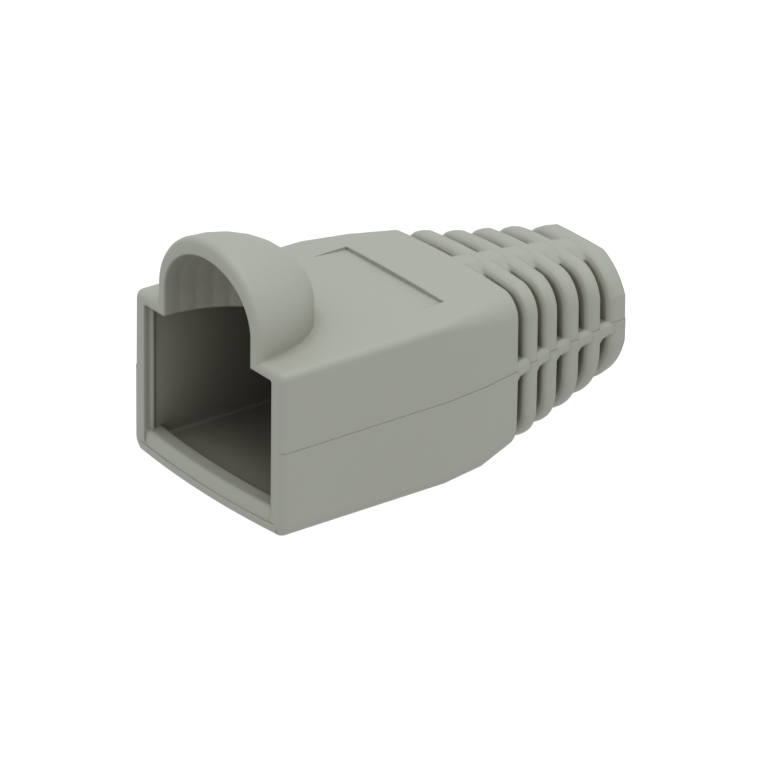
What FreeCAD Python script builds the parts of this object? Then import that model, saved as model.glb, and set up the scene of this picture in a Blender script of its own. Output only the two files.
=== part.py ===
"""Strain relief boot for a modular RJ45 plug, moulded in one piece of soft PVC.

Frame: X across the boot, Y along the cable from the mouth to the cable end, Z up.  The
boot stands on its flat underside (z = 0).  It is drawn with the mouth edge at y = 0 and
moved at the end so that the origin lies under its middle.  Millimetres throughout.
"""
import FreeCAD, Part
import math
import os
import re

from Sketcher import Constraint

os.makedirs("parts", exist_ok=True)
doc = FreeCAD.newDocument("strain_relief_boot")

# ------------------------------------------------------------------ driving dimensions
SIZES = {
    # plug pocket, funnel and cable hole
    "mouth_width": 12.0, "mouth_height": 8.48, "floor_wall": 0.88,
    "pocket_depth": 12.6, "pocket_corner": 0.15,
    "funnel_length": 3.2, "funnel_step": 1.2, "cable_radius": 3.0, "cable_height": 5.0,
    # moulding details shared by every cross-section
    "parting_height": 5.25, "parting_step": 0.05, "draft_inset": 0.05, "rim_radius": 0.42,
    # latch hood
    "hood_half": 4.83, "hood_length": 6.35, "hood_rise": 4.25, "hood_leg": 1.72,
    "hood_wall": 0.78, "hood_roof": 1.0, "hood_rim": 0.4,
    # core tube, flex ribs and the webs that bridge them
    "core_wall": 0.7, "groove_start": 16.98, "groove_width": 0.76, "groove_pitch": 1.815,
    "rib_run": 0.85, "rib_round": 0.65, "side_web": 0.8, "web_drop": 0.3, "web_recess": 0.05,
    "web_bevel": 0.25, "web_blend": 0.3,
    "crest_web": 1.15, "crest_shift": 0.52, "web_flare": 1.0, "web_slope": 0.53,
    # raised lip across the mouth and the bead on each side wall
    "lip_bow": 0.37, "lip_bite": 0.5, "nose_round": 0.48, "nose_drop": 0.16, "lip_ledge": 0.07,
    "lip_lean": 0.12, "lip_height": 0.65, "lip_edge": 0.28, "lip_rise": 0.08, "lip_length": 0.8,
    "bead_place": 0.56, "bead_radius": 0.15,
    # shallow label recess on the top face
    "label_half": 4.5, "label_start": 10.3, "label_end": 12.95, "label_depth": 0.17,
}
GROOVE_COUNT = 5
ROUND_STEPS = 4     # flats in a quarter round
DOME_STEPS = 8      # slices of the latch hood from its front to its back
DOME_TURN = 84      # degrees that they turn through, the rest is a small flat

# Cross-sections of the outer form along the cable.  Each row holds the place, the wall
# outside the pocket or the core at the side, the top and the bottom, the rise of the
# crowned top, and then the size and the radius of the upper and of the lower corners.
STATION_PARTS = ("place", "side", "roof", "sole", "crown",
                 "corner_top", "round_top", "corner_low", "round_low")
POCKET_STATIONS = {
    "mouth": (0.42, 1.08, 0.64, 0.88, 0.03, 0.4, 0.4, 0.75, 0.75),
    "bend": (11.4, 1.08, 0.65, 0.88, 0.04, 0.45, 0.45, 0.6, 0.6),
    "taper": (14.3, 0.8, 0.77, 0.88, 0.18, 1.03, 1.03, 0.9, 0.9),
}
CORE_STATIONS = {
    "shoulder": (16.98, 2.56, 1.32, 1.3, 0.2, 1.47, 1.47, 1.89, 1.89),
    "flex": (20.6, 1.52, 0.9, 1.3, 0.22, 1.9, 1.9, 2.55, 2.55),
    "tail": (24.0, 0.96, 0.46, 1.15, 0.2, 1.9, 1.95, 3.55, 3.6),
    "end": (26.35, 0.6, 0.12, 0.9, 0.04, 2.1, 3.9, 3.5, 4.7),
}
STATIONS = POCKET_STATIONS | CORE_STATIONS
for station, values in STATIONS.items():
    for part, value in zip(STATION_PARTS, values):
        SIZES[f"{station}_{part}"] = value

half_mouth = "(mouth_width / 2)"
ceiling = "(floor_wall + mouth_height)"
hood_spring = f"({ceiling} + hood_leg)"
core_radius = "(cable_radius + core_wall)"

sheet = doc.addObject("Spreadsheet::Sheet", "Sizes")
for row, (name, value) in enumerate(SIZES.items(), start=1):
    sheet.set(f"A{row}", name)
    sheet.set(f"B{row}", str(value))
    sheet.setAlias(f"B{row}", name)
doc.recompute()

body = doc.addObject("PartDesign::Body", "Boot")
body.Label = "strain_relief_boot"


# ------------------------------------------------------------------------ sketch helpers
def bind(expression):
    """Expression with every size name pointing at the sheet."""
    def point(word):
        return f"Sizes.{word[0]}" if word[0] in SIZES else word[0]
    return re.sub(r"[a-z]\w*", point, expression)


def value_of(expression):
    return float(sheet.evalExpression(bind(expression)))


def origin_plane(role):
    return next(item for item in body.Origin.OriginFeatures if item.Role == role)


def new_sketch(name, role="XZ_Plane", offset="0"):
    """Sketch on an origin plane of the body, moved along the plane's normal."""
    sketch = body.newObject("Sketcher::SketchObject", name)
    sketch.AttachmentSupport = [(origin_plane(role), "")]
    sketch.MapMode = "FlatFace"
    sketch.setExpression("AttachmentOffset.Base.z", f"({bind(offset)}) * 1 mm")
    return sketch


def arc_between(first, last, radius, bulge):
    """Arc of a given radius from first to last, bulging to the right (+1) or left (-1)."""
    chord = last - first
    half = chord.Length / 2
    sag = radius - math.sqrt(max(radius ** 2 - half ** 2, 0.0))
    side = FreeCAD.Vector(chord.y, -chord.x, 0).normalize()
    middle = (first + last) / 2 + side * sag * bulge
    return Part.Arc(first, middle, last)


def add_outline(sketch, corners, turn=1):
    """Closed outline through corners: (across, up, radius of the edge that follows).

    An empty radius makes a straight edge; a radius that starts with "hollow" bends inwards.
    Turn is 1 for an outline that runs counter-clockwise and -1 for a clockwise one.
    """
    points = [FreeCAD.Vector(value_of(x), value_of(y), 0) for x, y, _ in corners]
    edges = []
    for index, (_, _, radius) in enumerate(corners):
        first, last = points[index], points[(index + 1) % len(points)]
        if not radius:
            edges.append((sketch.addGeometry(Part.LineSegment(first, last), False), 1, 2))
            continue
        bulge = -turn if radius.startswith("hollow ") else turn
        length = radius.removeprefix("hollow ")
        edge = sketch.addGeometry(arc_between(first, last, value_of(length), bulge), False)
        forward = sketch.getPoint(edge, 1).distanceToPoint(first) < 1e-6
        edges.append((edge, 1, 2) if forward else (edge, 2, 1))
        constraint = sketch.addConstraint(Constraint("Radius", edge, value_of(length)))
        sketch.setExpression(f"Constraints[{constraint}]", bind(length))
    for index, (edge, start, _) in enumerate(edges):
        before, _, finish = edges[index - 1]
        sketch.addConstraint(Constraint("Coincident", before, finish, edge, start))
        across, up, _ = corners[index]
        for kind, place, at in (("DistanceX", across, points[index].x),
                                ("DistanceY", up, points[index].y)):
            constraint = sketch.addConstraint(Constraint(kind, -1, 1, edge, start, at))
            sketch.setExpression(f"Constraints[{constraint}]", bind(place))


def add_circle(sketch, across, up, radius):
    centre = FreeCAD.Vector(value_of(across), value_of(up), 0)
    circle = Part.Circle(centre, FreeCAD.Vector(0, 0, 1), value_of(radius))
    edge = sketch.addGeometry(circle, False)
    for kind, place, at in (("DistanceX", across, centre.x), ("DistanceY", up, centre.y)):
        constraint = sketch.addConstraint(Constraint(kind, -1, 1, edge, 3, at))
        sketch.setExpression(f"Constraints[{constraint}]", bind(place))
    constraint = sketch.addConstraint(Constraint("Radius", edge, value_of(radius)))
    sketch.setExpression(f"Constraints[{constraint}]", bind(radius))


def feature(kind, name, profile, **settings):
    """PartDesign feature on a profile, recomputed so that the next one can build on it."""
    item = body.newObject(f"PartDesign::{kind}", name)
    item.Profile = profile
    item.Refine = False
    for key, setting in settings.items():
        if isinstance(setting, str) and key in ("Length", "Length2", "Angle"):
            item.setExpression(key, bind(setting))
        else:
            setattr(item, key, setting)
    doc.recompute()
    return item


# --------------------------------------------------------------------------- outer form
def station_sizes(name):
    """Half width, top, bottom, crown and corners of a station, as expressions."""
    if name in POCKET_STATIONS:
        half, top, low = half_mouth, ceiling, "floor_wall"
    else:
        half, top = core_radius, f"cable_height + {core_radius}"
        low = f"cable_height - {core_radius}"
    size = {part: f"{name}_{part}" for part in STATION_PARTS[4:]}
    size["half"] = f"({half} + {name}_side)"
    size["top"] = f"({top} + {name}_roof)"
    size["low"] = f"({low} - {name}_sole)"
    return size


def sizes_at(place):
    """Outline sizes at a place along the cable, blended between the stations around it."""
    names = list(STATIONS)
    here = value_of(place)
    after = next((name for name in names[1:] if value_of(f"{name}_place") > here), names[-1])
    before = names[names.index(after) - 1]
    share = f"(({place} - {before}_place) / ({after}_place - {before}_place))"
    first, last = station_sizes(before), station_sizes(after)
    return {part: f"({first[part]} + {share} * ({last[part]} - {first[part]}))"
            for part in first}


def section(name, place, inset="0", station=""):
    """Rounded box with a crowned top; the upper half steps in at the parting line."""
    size = station_sizes(station) if station else sizes_at(place)
    half = f"({size['half']} - {inset})"
    upper = f"({half} - parting_step)"
    crest = f"({upper} - draft_inset)"
    low = f"({size['low']} + {inset})"
    top = f"({size['top']} - {inset})"
    edge = f"({top} - {size['crown']})"
    flat = f"({crest} - {size['corner_top']})"
    right = [
        (f"{half} - {size['corner_low']}", low, size["round_low"]),
        (half, f"{low} + {size['corner_low']}", ""),
        (half, "parting_height", ""),
        (upper, "parting_height", ""),
        (crest, f"{edge} - {size['corner_top']}", size["round_top"]),
        (flat, edge, f"({flat} ^ 2 + {size['crown']} ^ 2) / (2 * {size['crown']})"),
    ]
    left = [(f"-1 * ({x})", z, "") for x, z, _ in reversed(right)]
    for index, (_, _, radius) in enumerate(reversed(right[:-1])):
        left[index] = left[index][:2] + (radius,)
    sketch = new_sketch(name, offset=f"-1 * ({place})")
    add_outline(sketch, right + left)
    return sketch


def quarter_round(run, rise):
    """Pairs of set-back and inset that turn a front edge round in equal steps."""
    for step in range(ROUND_STEPS + 1):
        angle = math.pi / 2 * step / ROUND_STEPS
        yield f"{1 - math.cos(angle):.4f} * {run}", f"({1 - math.sin(angle):.4f} * {rise})"


def rounded_block(name, front, rear, run, rise, station="", rear_station=""):
    """Length of the outer form between two places, its front edge rounded by run and rise."""
    turns = [section(f"{name}Turn{step}", f"({front} + {set_back})", inset, station)
             for step, (set_back, inset) in enumerate(quarter_round(run, rise))]
    feature("AdditiveLoft", f"{name}Edge", turns[0], Sections=turns[1:], Ruled=True)
    finish = section(f"{name}End", rear, "0", rear_station)
    feature("AdditiveLoft", name, turns[-1], Sections=[finish], Ruled=True)
    return finish


bend = rounded_block("Box", "0", "bend_place", "mouth_place", "rim_radius", "mouth", "bend")
taper = section("TaperSection", "taper_place", station="taper")
shoulder = section("ShoulderSection", "shoulder_place", station="shoulder")
feature("AdditiveLoft", "Taper", bend, Sections=[taper, shoulder], Ruled=True)


# --------------------------------------------------------------------------- latch hood
def arch(name, place, half, rise, foot):
    """Half-elliptic arch that stands on two legs, drawn at a place along the cable."""
    sketch = new_sketch(name, offset=f"-1 * {place}")
    across, up, high = value_of(half), value_of(hood_spring), value_of(rise)
    centre = FreeCAD.Vector(0, up, 0)
    side, tip = centre + FreeCAD.Vector(across, 0, 0), centre + FreeCAD.Vector(0, high, 0)
    tall = high > across
    ellipse = Part.Ellipse(tip, side, centre) if tall else Part.Ellipse(side, tip, centre)
    first = -math.pi / 2 if tall else 0
    arc = sketch.addGeometry(Part.ArcOfEllipse(ellipse, first, first + math.pi), False)
    sketch.exposeInternalGeometry(arc)
    upright = arc + 1 if tall else arc + 2
    top = 1 if sketch.getPoint(upright, 1).y > up else 2
    start = 1 if sketch.getPoint(arc, 1).x > 0 else 2
    down = FreeCAD.Vector(0, up - value_of(foot), 0)
    corners = [2 * centre - side, 2 * centre - side - down, side - down, side]
    lines = [sketch.addGeometry(Part.LineSegment(one, two), False)
             for one, two in zip(corners, corners[1:])]
    joints = [(arc, 3 - start, lines[0], 1), (lines[-1], 2, arc, start)]
    joints += [(one, 2, two, 1) for one, two in zip(lines, lines[1:])]
    for joint in joints:
        sketch.addConstraint(Constraint("Coincident", *joint))
    sketch.addConstraint(Constraint("PointOnObject", arc, 3, -2))
    sketch.addConstraint(Constraint("PointOnObject", upright, top, -2))
    for kind, edge, point, size in (
            ("DistanceY", arc, 3, hood_spring), ("DistanceY", arc, 3 - start, hood_spring),
            ("DistanceY", upright, top, f"{hood_spring} + {rise}"),
            ("DistanceX", arc, start, half), ("DistanceY", arc, start, hood_spring),
            ("DistanceX", lines[1], 1, f"-1 * {half}"), ("DistanceY", lines[1], 1, foot),
            ("DistanceX", lines[1], 2, half), ("DistanceY", lines[1], 2, foot)):
        constraint = sketch.addConstraint(Constraint(kind, -1, 1, edge, point, value_of(size)))
        sketch.setExpression(f"Constraints[{constraint}]", bind(size))
    return sketch


def dome(name, wall, roof, front, foot):
    """Arches of an ellipsoid on legs, set back from the skin by wall and roof, to the back."""
    for step in range(DOME_STEPS + 1):
        angle = math.radians(DOME_TURN) * step / DOME_STEPS
        place = f"({front} + {math.sin(angle):.4f} * (hood_length - {front} - {wall}))"
        yield arch(f"{name}{step}", place, f"({math.cos(angle):.4f} * (hood_half - {wall}))",
                   f"({math.cos(angle):.4f} * (hood_rise - {roof}))", foot)


rim = [arch(f"HoodTurn{step}", set_back, f"(hood_half - {inset})", f"(hood_rise - {inset})", ceiling)
       for step, (set_back, inset) in enumerate(quarter_round("hood_rim", "hood_rim"))]
feature("AdditiveLoft", "HoodRim", rim[0], Sections=rim[1:], Ruled=True)
skin = list(dome("HoodSkin", "0", "0", "hood_rim", ceiling))
feature("AdditiveLoft", "Hood", skin[0], Sections=skin[1:], Ruled=True)
throat_foot = f"({ceiling} - hood_wall)"
hollow = [arch("HoodMouth", "(-1 * hood_rim)", "(hood_half - hood_wall)", "(hood_rise - hood_roof)",
               throat_foot)]
hollow += dome("HoodHollow", "hood_wall", "hood_roof", "0", throat_foot)
feature("SubtractiveLoft", "HoodThroat", hollow[0], Sections=hollow[1:], Ruled=True)


# -------------------------------------------------------------------------- plug pocket
def add_rounded_box(sketch, half, low, high, corner):
    """Upright box with four rounded corners, centred across."""
    outer = f"({half} - {corner})"
    add_outline(sketch, [
        (outer, low, corner), (half, f"{low} + {corner}", ""),
        (half, f"{high} - {corner}", corner), (outer, high, ""),
        (f"-1 * {outer}", high, corner), (f"-1 * {half}", f"{high} - {corner}", ""),
        (f"-1 * {half}", f"{low} + {corner}", corner), (f"-1 * {outer}", low, ""),
    ])


pocket = new_sketch("PlugPocketSketch", offset="rim_radius")
add_rounded_box(pocket, half_mouth, "floor_wall", ceiling, "pocket_corner")
feature("Pocket", "PlugPocket", pocket, Length="pocket_depth + rim_radius")


# ------------------------------------------- bowed nose, raised lip and side-wall beads
lip_half = f"({half_mouth} + lip_bite)"
lip_reach = f"(({lip_half} ^ 2 + lip_bow ^ 2) / (2 * lip_bow))"
lip_top = "(floor_wall + lip_height)"
lip_foot = "(lip_ledge - lip_bow)"
lip_back = f"({lip_foot} + lip_lean)"
nose_top = "(floor_wall - nose_drop)"
nose = new_sketch("NoseProfile", "YZ_Plane")
add_outline(nose, [
    ("-1 * lip_bow", "nose_round", ""),
    ("-1 * lip_bow", nose_top, ""),
    (lip_foot, nose_top, ""),
    (lip_back, f"{lip_top} - lip_edge", "lip_edge"),
    (f"{lip_back} + lip_edge", lip_top, ""),
    ("lip_length", f"{lip_top} + lip_rise", ""),
    ("lip_length", "floor_wall / 2", ""),
    ("nose_round", "floor_wall / 2", ""),
    ("nose_round", "0", ""),
    ("nose_round - lip_bow", "0", "nose_round"),
], turn=-1)
sweep_axis = nose.addGeometry(Part.LineSegment(
    FreeCAD.Vector(value_of(f"{lip_reach} - lip_bow"), 0, 0),
    FreeCAD.Vector(value_of(f"{lip_reach} - lip_bow"), 1, 0)), True)
nose.addConstraint(Constraint("Vertical", sweep_axis))
for kind, size in (("DistanceX", f"{lip_reach} - lip_bow"), ("DistanceY", "0")):
    constraint = nose.addConstraint(Constraint(kind, -1, 1, sweep_axis, 1, value_of(size)))
    nose.setExpression(f"Constraints[{constraint}]", bind(size))
nose.addConstraint(Constraint("DistanceY", sweep_axis, 1, sweep_axis, 2, 1))
feature("Revolution", "Nose", nose, ReferenceAxis=(nose, ["Axis0"]), Midplane=True,
        Angle=f"2 * asin({lip_half} / {lip_reach})")

beads = new_sketch("BeadSketch", "XY_Plane", "floor_wall")
for side in (f"-1 * {half_mouth}", half_mouth):
    add_circle(beads, side, "bead_place", "bead_radius")
feature("Pad", "SideBeads", beads, Length="mouth_height")


# ------------------------------------------------------------------------- label recess
label = new_sketch("LabelProfile", "YZ_Plane", "-1 * label_half")
plateau = station_sizes("bend")["top"]
add_outline(label, [
    ("label_start", plateau, ""), ("label_end", f"{plateau} - label_depth", ""),
    ("label_end", f"{plateau} + label_depth", ""),
    ("label_start", f"{plateau} + label_depth", ""),
])
feature("Pocket", "LabelRecess", label, Length="2 * label_half", Reversed=True)


# ------------------------------------------------------- flex ribs on their core and webs
core = new_sketch("CoreSketch", offset="-1 * taper_place")
add_circle(core, "0", "cable_height", core_radius)
feature("Pad", "Core", core, Length="end_place - taper_place", Reversed=True)


def web_section(name, place, web, blend="0"):
    """Cross of four webs at a place in a groove, each a little below the ribs it joins."""
    size = sizes_at(place)
    side = f"({size['half']} - web_recess)"
    crest = f"({size['top']} - web_recess)"
    sole = f"({size['low']} + web_recess)"
    fall = "web_slope * web_flare"
    above, below = f"({web} + side_web / 2)", f"({web} - side_web / 2 - {blend})"
    right, left = "(crest_shift + crest_web / 2)", "(crest_shift - crest_web / 2)"
    half_sole = "(crest_web / 2)"
    sketch = new_sketch(name, offset=f"-1 * {place}")
    add_outline(sketch, [
        (side, below, ""),
        (side, f"{above} - web_bevel", ""),
        (f"{side} - web_bevel", above, ""),
        (f"{right} + web_flare", above, ""),
        (f"{right} + web_flare", f"{crest} - {fall}", ""),
        (right, crest, ""),
        (left, crest, ""),
        (f"{left} - web_flare", f"{crest} - {fall}", ""),
        (f"{left} - web_flare", above, ""),
        (f"-1 * ({side} - web_bevel)", above, ""),
        (f"-1 * {side}", f"{above} - web_bevel", ""),
        (f"-1 * {side}", below, ""),
        (f"-1 * ({half_sole} + web_flare)", below, ""),
        (f"-1 * ({half_sole} + web_flare)", f"{sole} + {fall}", ""),
        (f"-1 * {half_sole}", sole, ""),
        (half_sole, sole, ""),
        (f"{half_sole} + web_flare", f"{sole} + {fall}", ""),
        (f"{half_sole} + web_flare", below, ""),
    ])
    return sketch


for groove in range(GROOVE_COUNT):
    front = f"(groove_start + {groove} * groove_pitch)"
    rear = f"({front} + groove_width)"
    rib_end = "end_place" if groove == GROOVE_COUNT - 1 else f"({front} + groove_pitch)"
    rounded_block(f"Rib{groove + 1}", rear, rib_end, "rib_run", "rib_round")
    web = f"(parting_height - {groove} / ({GROOVE_COUNT} - 1) * web_drop)"
    webs = [
        web_section(f"Webs{groove + 1}Front", front, web, "web_blend"),
        web_section(f"Webs{groove + 1}Blend", f"({front} + web_blend)", web),
        web_section(f"Webs{groove + 1}Rear", f"({rear} + rib_run / 2)", web),
    ]
    feature("AdditiveLoft", f"Webs{groove + 1}", webs[0], Sections=webs[1:], Ruled=True)


# ----------------------------------------------------------------- funnel and cable hole
funnel = body.newObject("PartDesign::SubtractiveCone", "Funnel")
funnel.AttachmentSupport = [(origin_plane("XZ_Plane"), "")]
funnel.MapMode = "FlatFace"
for target, size in (("AttachmentOffset.Base.y", "cable_height"),
                     ("AttachmentOffset.Base.z", "-1 * (pocket_depth + funnel_length)")):
    funnel.setExpression(target, f"({bind(size)}) * 1 mm")
funnel.setExpression("Radius1", bind("cable_radius"))
funnel.setExpression("Radius2", bind("cable_radius + funnel_step"))
funnel.setExpression("Height", bind("funnel_length"))
doc.recompute()
cable = new_sketch("CableHoleSketch", offset="-1 * pocket_depth")
add_circle(cable, "0", "cable_height", "cable_radius")
feature("Pocket", "CableHole", cable, Type=1)

# -------------------------------------------------- standing place, checks and export
body.setExpression("Placement.Base.y", bind("(lip_bow - end_place) / 2") + " * 1 mm")
doc.recompute()
for item in doc.Objects:
    if "Invalid" in item.State or "Error" in item.State:
        raise RuntimeError(f"{item.Name} did not build: {item.State}")
boot = body.Shape
if boot.isNull() or not boot.isValid() or len(boot.Solids) != 1:
    raise RuntimeError("the boot is not one valid solid")
boot.exportStep("parts/strain_relief_boot.step")
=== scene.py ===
"""Looks of the strain relief boot: its soft PVC finish with painted shade in its recesses, floor,
light and camera.
"""
import math

import bpy
from mathutils import Matrix, Vector


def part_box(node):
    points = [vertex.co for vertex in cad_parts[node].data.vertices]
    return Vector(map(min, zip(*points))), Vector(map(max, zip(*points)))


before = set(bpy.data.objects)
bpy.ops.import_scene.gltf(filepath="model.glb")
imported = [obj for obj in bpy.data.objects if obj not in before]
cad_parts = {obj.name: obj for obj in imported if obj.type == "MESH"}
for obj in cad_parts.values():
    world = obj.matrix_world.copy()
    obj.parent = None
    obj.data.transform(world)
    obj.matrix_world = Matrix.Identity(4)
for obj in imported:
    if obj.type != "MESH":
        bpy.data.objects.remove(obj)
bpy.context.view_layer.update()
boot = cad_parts["strain_relief_boot"]
low, high = (Vector(corner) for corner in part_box("strain_relief_boot"))
MM = 0.001


def direction(azimuth, elevation):
    """Unit vector from the boot to a place given in degrees, azimuth 0 being the mouth's side."""
    around, above = math.radians(azimuth), math.radians(elevation)
    return Vector((math.sin(around) * math.cos(above), -math.cos(around) * math.cos(above),
                   math.sin(above)))


# ------------------------------------------------------------------------------- finish
SKIN_GREY = (0.386, 0.371, 0.324, 1)
CLOUD_GREY = (0.376, 0.36, 0.312, 1)    # faint clouds in the skin
CLOUD_SCALE, CLOUD_DETAIL = 180.0, 3.0
PAINTED_SHADE_GREY = (0.148, 0.121, 0.092, 1)    # painted shade in the pocket and at the bottom of the grooves
PAINTED_SHADE_REACH = 14 * MM                    # how far off a wall still encloses a point for the painted shade
FULL_SHADE_SHARE, NO_SHADE_SHARE = 0.1, 0.68      # free share of the view at the full painted shade and at the bare skin grey
EDGE_RADIUS = 0.26 * MM                 # moulded edges are never sharp
RAY_COUNT = 8                           # rays for each rounding and each free share
GRAIN_SCALE, GRAIN_DETAIL = 2600.0, 2.0
GRAIN_DEPTH, GRAIN_STRENGTH = 0.05 * MM, 0.08
ROUGHNESS, ROUGHNESS_SPREAD = 0.5, 0.08
MIX_FIRST, MIX_SECOND, MIX_RESULT = 6, 7, 2     # the Mix node's colour sockets


class Socket:
    """A node's output that can be used in sums."""

    def __init__(self, material, link):
        self.material, self.link = material, link

    def maths(self, operation, other):
        return self.material.node("ShaderNodeMath", {"operation": operation}, (self, other))

    def __add__(self, other):
        return self.maths("ADD", other)

    def __mul__(self, other):
        return self.maths("MULTIPLY", other)

    __radd__, __rmul__ = __add__, __mul__


class Finish:
    """A material whose nodes are written as calls and sums."""

    def __init__(self, name):
        self.material = bpy.data.materials.new(name)
        self.material.use_nodes = True
        self.tree = self.material.node_tree
        self.shader = self.tree.nodes["Principled BSDF"]

    def node(self, kind, settings, values, output=0):
        """Adds a node, sets it up, fills its sockets and returns one of its outputs."""
        added = self.tree.nodes.new(kind)
        for name, setting in settings.items():
            setattr(added, name, setting)
        pairs = values.items() if isinstance(values, dict) else enumerate(values)
        for place, value in pairs:
            self.feed(added.inputs[place], value)
        return Socket(self, added.outputs[output])

    def feed(self, socket, value):
        """Links the socket to another node's output or sets it to a plain value."""
        if isinstance(value, Socket):
            self.tree.links.new(value.link, socket)
        else:
            socket.default_value = value

    def mix(self, factor, first, second):
        """Blend of two colours."""
        return self.node("ShaderNodeMix", {"data_type": "RGBA"},
                         {"Factor": factor, MIX_FIRST: first, MIX_SECOND: second},
                         output=MIX_RESULT)

    def set(self, **values):
        """Sets the shader's own sockets, named with underscores for spaces."""
        for name, value in values.items():
            self.feed(self.shader.inputs[name.replace("_", " ")], value)


def soft_pvc_painted_shade():
    """Light grey PVC with a satin skin, with shade painted darker and warmer into its colour where
    walls enclose it.
    """
    finish = Finish("soft_pvc_painted_shade")
    place = finish.node("ShaderNodeTexCoord", {}, {}, output="Object")
    cloud = finish.node("ShaderNodeTexNoise", {},
                        {"Vector": place, "Scale": CLOUD_SCALE, "Detail": CLOUD_DETAIL})
    grain = finish.node("ShaderNodeTexNoise", {},
                        {"Vector": place, "Scale": GRAIN_SCALE, "Detail": GRAIN_DETAIL})
    skin = finish.mix(cloud, SKIN_GREY, CLOUD_GREY)
    soft_edge = finish.node("ShaderNodeBevel", {"samples": RAY_COUNT}, {"Radius": EDGE_RADIUS})
    openness = finish.node("ShaderNodeAmbientOcclusion",
                           {"samples": RAY_COUNT, "only_local": True},
                           {"Distance": PAINTED_SHADE_REACH, "Normal": soft_edge}, output="AO")
    unshaded_share = finish.node("ShaderNodeMapRange", {},
                          {"Value": openness, "From Min": FULL_SHADE_SHARE, "From Max": NO_SHADE_SHARE})
    # painted shade: the base colour darkens and warms towards the shade grey where walls enclose
    # the surface
    skin_and_painted_shade = finish.mix(unshaded_share, PAINTED_SHADE_GREY, skin)
    bump = finish.node("ShaderNodeBump", {}, {"Strength": GRAIN_STRENGTH, "Distance": GRAIN_DEPTH,
                                              "Height": grain, "Normal": soft_edge})
    finish.set(Base_Color=skin_and_painted_shade, Roughness=ROUGHNESS + ROUGHNESS_SPREAD * cloud, Normal=bump,
               IOR=1.5)
    return finish.material


boot.data.materials.clear()
boot.data.materials.append(soft_pvc_painted_shade())

# ---------------------------------------------------------------------- floor and light
FLOOR_HALF = 0.6
COOL_WHITE = (0.93, 1.0, 0.995)
AMBIENT_STRENGTH = 0.75


def glowing_white():
    """Shadowless white, as on a light table."""
    finish = Finish("white_floor")
    finish.set(Base_Color=(0.05, 0.05, 0.05, 1), Roughness=0.9, Specular_IOR_Level=0.0,
               Emission_Color=(1, 1, 1, 1), Emission_Strength=1.0)
    return finish.material


def softbox(name, azimuth, elevation, distance, size, power):
    """Square area light that looks at the middle of the boot."""
    middle = (low + high) / 2
    away = direction(azimuth, elevation)
    light = bpy.data.lights.new(name, "AREA")
    light.size, light.energy, light.color = size, power, COOL_WHITE
    lamp = bpy.data.objects.new(name, light)
    lamp.matrix_world = (Matrix.Translation(middle + away * distance)
                         @ away.to_track_quat("Z", "Y").to_matrix().to_4x4())
    bpy.context.collection.objects.link(lamp)


floor_mesh = bpy.data.meshes.new("floor")
corners = [(x * FLOOR_HALF, y * FLOOR_HALF, low.z) for x, y in ((-1, -1), (1, -1), (1, 1), (-1, 1))]
floor_mesh.from_pydata(corners, [], [(0, 1, 2, 3)])
floor_mesh.materials.append(glowing_white())
floor = bpy.data.objects.new("floor", floor_mesh)
bpy.context.collection.objects.link(floor)
floor.visible_diffuse = False       # the white ground is seen but lights nothing
floor.visible_glossy = False

world = bpy.data.worlds.new("studio")
bpy.context.scene.world = world
world.use_nodes = True
background = world.node_tree.nodes["Background"]
background.inputs["Color"].default_value = (*COOL_WHITE, 1)
background.inputs["Strength"].default_value = AMBIENT_STRENGTH

softbox("overhead_softbox", azimuth=90, elevation=82, distance=0.4, size=0.35, power=0.78)

# ------------------------------------------------------------------------------- camera
AZIMUTH, ELEVATION, ROLL = 52.435, 25.888, math.radians(0.915)
DISTANCE = 337 * MM
FOCUS = Vector((3.60, -3.72, 5.86)) * MM
LENS, SENSOR = 287.1, 36.0

back = direction(AZIMUTH, ELEVATION)
level = Vector((math.cos(math.radians(AZIMUTH)), math.sin(math.radians(AZIMUTH)), 0))
upright = back.cross(level)
right = math.cos(ROLL) * level + math.sin(ROLL) * upright
up = back.cross(right)
lens = bpy.data.cameras.new("camera")
lens.lens, lens.sensor_width = LENS, SENSOR
lens.clip_start, lens.clip_end = 0.01, 10.0
camera = bpy.data.objects.new("camera", lens)
camera.matrix_world = (Matrix.Translation(FOCUS + back * DISTANCE)
                       @ Matrix((right, up, back)).transposed().to_4x4())
bpy.context.collection.objects.link(camera)
bpy.context.scene.camera = camera
bpy.context.scene.view_settings.view_transform = "Standard"
